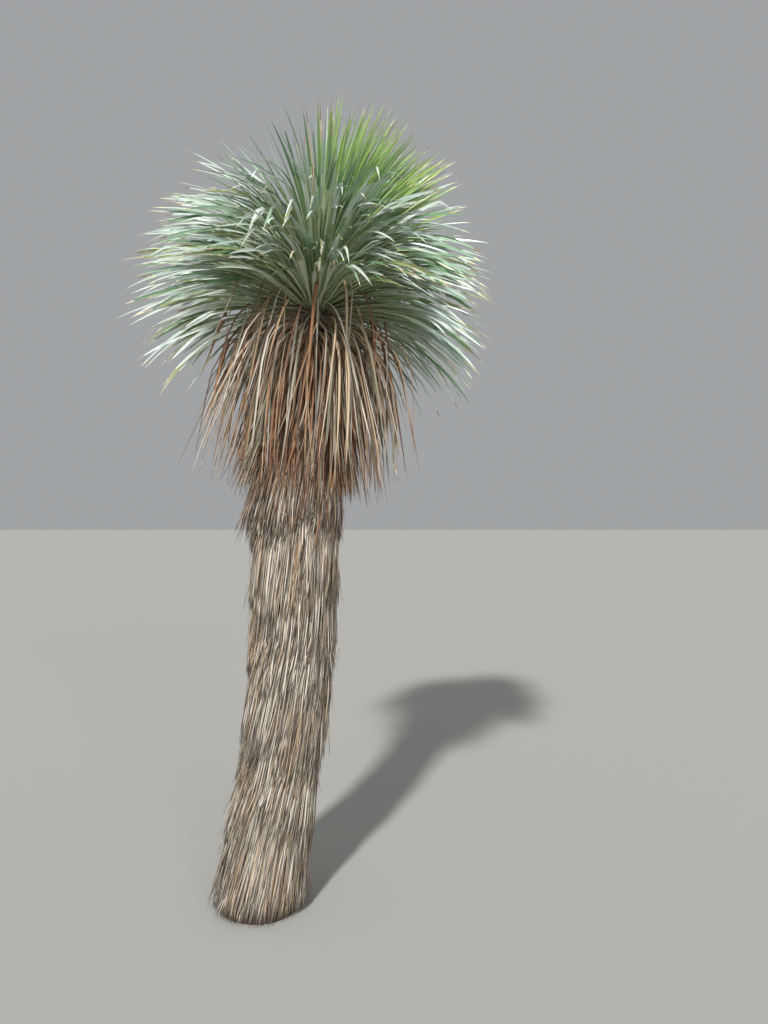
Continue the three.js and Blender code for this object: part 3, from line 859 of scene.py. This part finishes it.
def tier_radius(tier, height):
    foot, head, foot_radius, head_radius = tier[:4]
    share = np.clip((height - foot) / (head - foot), 0, 1)
    return foot_radius + (head_radius - foot_radius) * share - PROUD


def rows_up(height, angle):
    """How many rows of tips lie below a place. The rows waver as they go round the column."""
    rows = height / ROW_HEIGHT + 0.16 * np.sin(2 * angle + 5 * height)
    return rows + 0.1 * np.sin(5 * angle - 3 * height + 1)


def row_bulge(tip, angle):
    """Leaves that died in one year end together, so the column steps in under each year's row of tips."""
    return ROW_STEP * (1 - rows_up(tip, angle) % 1) ** 1.5


# %% Looks of the thatch
FRESH_ABOVE, FRESH_OVER = 1.15, 0.4
OCHRE_LEAST, OCHRE_IN_PATCH = 0.15, 0.6


def strip_looks(random, heights, angles):
    """Red-brown where the leaves are newly dead, silver and grey with patches of ochre further down."""
    fresh = np.clip((heights - FRESH_ABOVE) / FRESH_OVER, 0, 1)
    count = len(heights)
    patch = np.maximum(0, np.sin(2 * angles + 7 * heights) * np.sin(3 * angles - 5 * heights + 1))
    warm_skins = deal(random, ["ochre", "straw", "dark"], (0.45, 0.35, 0.2), count)
    cool_skins = deal(random, ["silver", "grey", "dark"], (0.33, 0.41, 0.26), count)
    warm = random.random(count) < OCHRE_LEAST + OCHRE_IN_PATCH * patch
    old_skins = np.where(warm, warm_skins, cool_skins)
    new_shares = (0.1, 0.18, 0.13, 0.38, 0.21)
    new_skins = deal(random, ["red_brown", "brown", "tan", "grey", "dark"], new_shares, count)
    chosen = np.where(random.random(count) < fresh, new_skins, old_skins)
    return dead_looks(random, chosen, painted_lit_share=0.5)


# %% How a strip lies
STRIP_LENGTHS, SHORTEST, PAST_HEAD = (0.3, 0.55), 0.1, 0.16
GATHERED, RAGGED = 0.05, 0.02  # how far tips draw together in a row, and how uneven the lowest ones end
LOOSE, LOOSE_ON_SKIRT, LOOSE_REACH = 0.05, 0.35, (0.01, 0.03)
BOW, WINDING = 0.05, 0.02  # in radians round the stem
ROOT_DEPTH = 0.014  # how far under the column's face a strip starts
SLUMP, SLUMP_SPREAD = -0.2, 0.09  # how far round the stem a strip has slid by its tip, in radians
SKIRT_TUCK = 0.018  # how much closer the skirt lies at the right, at its lower edge


def strip_ends(random, tier):
    """The height of each strip's tip and root, and the angle it starts at. Tips gather in rows."""
    foot, head, _, _, hang, count = tier
    lowest = foot - hang
    tip = lowest + (head - lowest) * ((np.arange(count) * GOLDEN + 0.2 * random.random(count)) % 1)
    top = np.minimum(tip + random.uniform(*STRIP_LENGTHS, count), head + PAST_HEAD)
    start = 2 * pi * random.random(count)
    tip -= GATHERED * np.sin(2 * pi * rows_up(tip, start)) * random.random(count)
    tip = np.maximum(tip, LOWEST_TIP + RAGGED * random.random(count) ** 2)
    return tip, np.maximum(top, tip + SHORTEST), start


def strip_offset(random, number, tip, start, share):
    """How far each step of a strip stands out. A few strips hang loose, and more of them on the skirt."""
    count = len(tip)
    on_skirt = np.maximum(0, -np.cos(start + 0.4)) if number == SKIRT else np.zeros(count)
    is_loose = random.random(count) < LOOSE + LOOSE_ON_SKIRT * on_skirt
    loose = np.where(is_loose, random.uniform(*LOOSE_REACH, count), 0)
    loose *= 1 + 0.8 * on_skirt
    reach = random.uniform(0.0, 1.0, count) * PROUD + row_bulge(tip, start)
    lying = -ROOT_DEPTH + (ROOT_DEPTH + reach)[:, None] * np.minimum(1, 1.15 * share)
    return lying + loose[:, None] * share**3


def strip_angle(random, start, share):
    """The angle of each step: a strip bows a little to and fro, and has slumped round the stem."""
    count = len(start)
    bow = BOW * random.uniform(-1, 1, count)[:, None] * np.sin(pi * share)
    bow += WINDING * random.uniform(-1, 1, count)[:, None] * np.sin(2.5 * pi * share)
    slant = random.normal(SLUMP, SLUMP_SPREAD, count)[:, None] * share
    return start[:, None] + bow + slant


# %% The thatch, tier by tier
STRIP_ROLL, STRIP_TWIST, STRIP_SEED = 25, 60, 40
STRIP_WIDTHS, STRIP_THICKNESS, STRIP_HOLLOW = (0.003, 0.008), 0.3, (0.1, 0.6)


def round_stem(radius, angle, height):
    """Points at a radius and an angle round the leaning stem."""
    return np.stack([radius * np.cos(angle) + lean_at(height), radius * np.sin(angle), height], axis=-1)


def thatch_tier(number, tier):
    """One tier of strips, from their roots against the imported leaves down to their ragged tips."""
    random = np.random.default_rng(STRIP_SEED + number)
    tip, top, start = strip_ends(random, tier)
    count = len(tip)
    share = np.linspace(0, 1, STEPS + 1)[None, :]
    height = top[:, None] + (tip - top)[:, None] * share
    radius = tier_radius(tier, height) + strip_offset(random, number, tip, start, share)
    tucked = np.where(number == SKIRT, 0.5 * (1 + np.cos(start)), 0)[:, None]
    radius -= SKIRT_TUCK * tucked * share**2
    angle = strip_angle(random, start, share)
    line = round_stem(radius, angle, height)
    roll = radians(STRIP_ROLL) * random.uniform(-1, 1, count)
    twist = radians(STRIP_TWIST) * random.uniform(-1, 1, count)
    width = random.uniform(*STRIP_WIDTHS, count)
    turned = roll[:, None] + twist[:, None] * share
    hollow = random.uniform(*STRIP_HOLLOW, count)
    corners = carry(STRIP, line, level_across(angle), turned, width, width * STRIP_THICKNESS, hollow)
    looks = strip_looks(random, tip, start)
    return join(f"thatch_strips_{number}", STRIP, corners, DEAD, looks)


thatch = [thatch_tier(number, tier) for number, tier in enumerate(TIERS, 1)]

# %% [markdown]
# Here and there the margin of a dead leaf has peeled off as a pale thread that curls over the skirt. A
# curve with a thickness would do for one. The same strip, carried along a line that winds to and fro,
# makes all of them at once.

# %% Curled threads
THREADS, THREAD_WIDTH, THREADS_OUT, THREAD_SEED = 90, 0.0016, 0.004, 50
THREAD_HEIGHTS, THREAD_LENGTHS, THREAD_TURNS = (1.42, 1.66), (0.04, 0.1), (0.5, 1.3)


def curled_threads():
    random = np.random.default_rng(THREAD_SEED)
    share = np.linspace(0, 1, STEPS + 1)[None, :]
    height = random.uniform(*THREAD_HEIGHTS, THREADS)
    angle = random.uniform(0, 2 * pi, THREADS)
    root = round_stem(tier_radius(TIERS[SKIRT - 1], height) + THREADS_OUT, angle, height)
    turns = random.uniform(*THREAD_TURNS, THREADS)[:, None] * share
    curl = 2 * pi * turns + 2 * pi * random.random(THREADS)[:, None]
    length = random.uniform(*THREAD_LENGTHS, THREADS)
    line, level = walk(root, angle[:, None] + 1.5 * np.sin(curl), 1.3 * np.cos(curl) - 0.5, length)
    thin = np.full(THREADS, THREAD_WIDTH)
    corners = carry(STRIP, line, level, np.zeros_like(curl), thin, thin, np.zeros(THREADS))
    return join("curled_threads", STRIP, corners, DEAD, [look_of("silver", "silver", "straw")] * THREADS)


threads = curled_threads()

# %% [markdown]
# Between the strips the eye falls on packed leaf bases, brown and in shadow. They could be modelled one
# by one, but they are hardly seen. A sleeve under each tier stands for them: a ring a little narrower
# than the column, drawn up the leaning stem in steps. Its dark brown is partly painted shade.

# %% The sleeve under each tier
SLEEVE_HEIGHTS = [tier[0] for tier in TIERS] + [TIERS[-1][1]]
SLEEVE_RADII = (0.146, 0.132, 0.135, 0.141, 0.129, 0.064)
SLEEVE_STEPS, SLEEVE_SIDES = 24, 64


def sleeve_radius(height):
    return float(np.interp(height, SLEEVE_HEIGHTS, SLEEVE_RADII))


def sleeve(number, tier):
    """A closed sleeve from the foot of a tier to its head."""
    foot, head = tier[:2]
    start_clean()
    place, radius = (float(lean_at(foot)), 0, foot), sleeve_radius(foot)
    bpy.ops.mesh.primitive_circle_add(vertices=SLEEVE_SIDES, radius=radius, fill_type="NGON", location=place)
    piece = bpy.context.object
    piece.name = f"packed_sleeve_{number}"
    bpy.ops.object.transform_apply(location=True, rotation=False, scale=False)
    bpy.ops.object.mode_set(mode="EDIT")
    bpy.ops.mesh.select_all(action="SELECT")
    heights = np.linspace(foot, head, SLEEVE_STEPS + 1)[1:]
    draw_up(foot, radius, heights, [sleeve_radius(height) for height in heights])
    finish_shape(piece)
    # The sleeve's dark brown is partly painted shade.
    piece.data.materials.append(DEAD["packed"])
    return piece


# %% Sleeves joined to their tiers


def join_sleeve(strips, packed):
    """Makes a sleeve part of the strips that lie on it."""
    start_clean()
    packed.select_set(True)
    strips.select_set(True)
    bpy.context.view_layer.objects.active = strips
    bpy.ops.object.join()
    start_clean()


for number, (tier, strips) in enumerate(zip(TIERS, thatch), 1):
    join_sleeve(strips, sleeve(number, tier))

# %% [markdown]
# ## Standing for the solids
# Each new piece rides on the plant's one body, and says which coarse solids it stands for. The solids
# stay for collision, and only the leaves are seen.

# %% Who stands for what
SECTORS = 6


def stands_for(piece, nodes):
    """What a piece rides on, and the solids it stands for."""
    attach(piece, "root")
    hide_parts(*nodes)
    print(piece.name, "stands for", *nodes)


def sectors(mass):
    return [f"{mass}_{number}" for number in range(1, SECTORS + 1)]


def tier_nodes(number):
    return [f"thatch_tier_{number}_{letter}" for letter in "abc"]


stands_for(stem, ["trunk"])
stands_for(inner, sectors("hanging_inner"))
stands_for(outer, sectors("hanging_outer"))
stands_for(late, sectors("hanging_outer"))
stands_for(lower, sectors("rosette_lower"))
stands_for(middle, sectors("rosette_middle"))
stands_for(upper, sectors("rosette_upper"))
stands_for(young, ["rosette_spear"])
stands_for(threads, tier_nodes(SKIRT))
for number, strips in enumerate(thatch, 1):
    stands_for(strips, tier_nodes(number))

# %% [markdown]
# ## Floor, light and camera
# A pale floor and soft light, as in a studio. The main light stands high in front, a little to the left,
# and a weaker, broader one comes in low from the right and lights the undersides. Area lamps would be
# softer still, but they leave bright patches on so large a floor. Both are suns, whose light is even all
# over it. The camera is level at eye height, 2.85 m in front of the plant.

# %% The floor
FLOOR_SIZE = 120
start_clean()
bpy.ops.mesh.primitive_plane_add(size=FLOOR_SIZE)
floor = bpy.context.object
floor.name = "studio_floor"
floor.data.materials.append(skin("pale_matt_paint", "#a5a39e", roughness=0.9))
print("the floor is", FLOOR_SIZE, "m wide")

# %% The sky
SKY_COLOUR, SKY_STRENGTH = "#e6e9ec", 0.45
world = bpy.data.worlds.new("studio")
bpy.context.scene.world = world
world.use_nodes = True
sky = world.node_tree.nodes["Background"].inputs
sky["Color"].default_value = linear(SKY_COLOUR)
sky["Strength"].default_value = SKY_STRENGTH
bpy.context.scene.view_settings.view_transform = "Standard"
print("the sky has a strength of", SKY_STRENGTH)

# %% The two suns


def add_sun(name, place, aim, strength, spread):
    """A sun that shines from a place to an aim. A wider spread, in degrees, gives softer shadows."""
    data = bpy.data.lights.new(name, "SUN")
    data.energy = strength
    data.angle = radians(spread)
    made = put_in_scene(name, data)
    made.location = place
    made.rotation_euler = (Vector(aim) - Vector(place)).to_track_quat("-Z", "Y").to_euler()
    print(name, "has a strength of", strength)


add_sun("sun_side", (-1.1, -4.6, 5.0), (0.2, 0, 1.6), strength=4.2, spread=4)
add_sun("shade_side", (3.0, -6.4, 3.4), (0.3, 0, 2.0), strength=1.15, spread=25)

# %% The camera
TO_THE_RIGHT, DISTANCE, EYE_HEIGHT = 0.46, 2.85, 1.456
LENS, FILM_HEIGHT = 27, 36
camera_data = bpy.data.cameras.new("camera")
camera_data.sensor_fit = "VERTICAL"
camera_data.sensor_height = FILM_HEIGHT
camera_data.lens = LENS
camera = put_in_scene("camera", camera_data)
camera.location = (TO_THE_RIGHT, -DISTANCE, EYE_HEIGHT)
camera.rotation_euler = (pi / 2, 0, 0)
bpy.context.scene.camera = camera
print("the camera stands", DISTANCE, "m in front")
